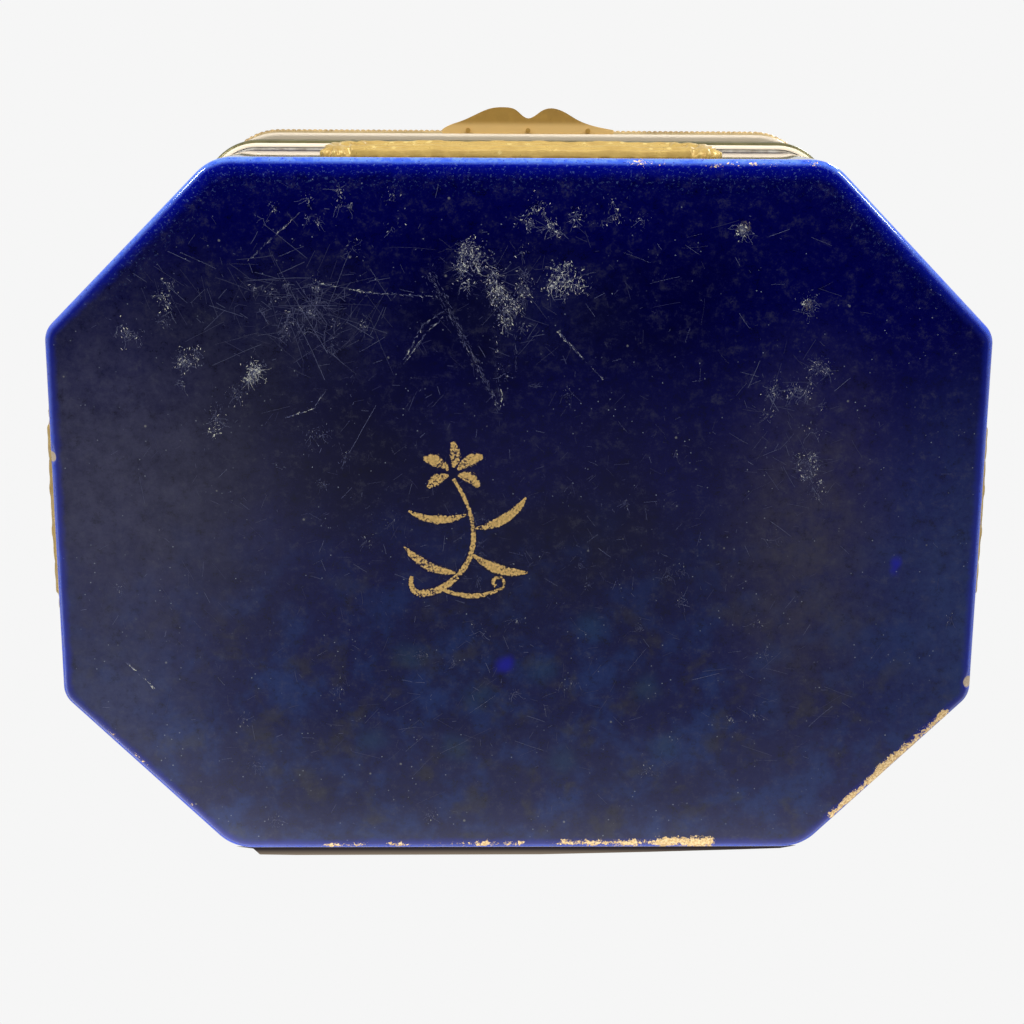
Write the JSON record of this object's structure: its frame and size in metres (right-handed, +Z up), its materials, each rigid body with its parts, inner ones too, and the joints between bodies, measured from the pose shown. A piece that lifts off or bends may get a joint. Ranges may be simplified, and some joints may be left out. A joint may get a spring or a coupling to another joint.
{
  "type": "hinged casket",
  "caption": "Octagonal glazed porcelain casket with a domed hinged lid, raised gilt frames and brass rim mounts.",
  "frame": {"origin": "middle of the footprint of the whole object, on the surface that it stands on", "axes": "+Z up, the front with the thumbpiece faces -Y, the hinge is on the +Y side, +X is to the right seen from the front"},
  "size_m": [0.2084, 0.168, 0.09],
  "materials": {
    "glazed_porcelain": "glossy cobalt glaze",
    "plaster": "matte",
    "gilt_brass": "worn gilt",
    "raised_gilding": "burnished fired gilding",
    "hinge_steel": "dull"
  },
  "bodies": {
    "casket": {"body": "glazed_porcelain", "body_bedding": "plaster", "body_collar": "gilt_brass", "frame_front": "raised_gilding", "frame_back": "raised_gilding", "frame_left": "raised_gilding", "frame_right": "raised_gilding", "hinge_leaf_body": "gilt_brass", "hinge_rivets_body": "gilt_brass", "hinge_pin": "hinge_steel", "hinge_pin_beads": "gilt_brass", "catch_tongue": "gilt_brass", "catch_rivets": "gilt_brass"},
    "cover": {"lid": "glazed_porcelain", "lid_bedding": "plaster", "lid_collar": "gilt_brass", "lid_frame": "raised_gilding", "thumbpiece": "gilt_brass", "thumbpiece_rivets": "gilt_brass", "catch_lug": "gilt_brass", "hinge_leaf_lid": "gilt_brass", "hinge_rivets_lid": "gilt_brass"}
  },
  "joints": [
    {"name": "lid_hinge", "type": "hinge", "parent": "casket", "child": "cover", "pos_m": [0, 0.0816, 0.0521], "axis": [-1, 0, 0], "range_deg": [0, 100]}
  ]
}
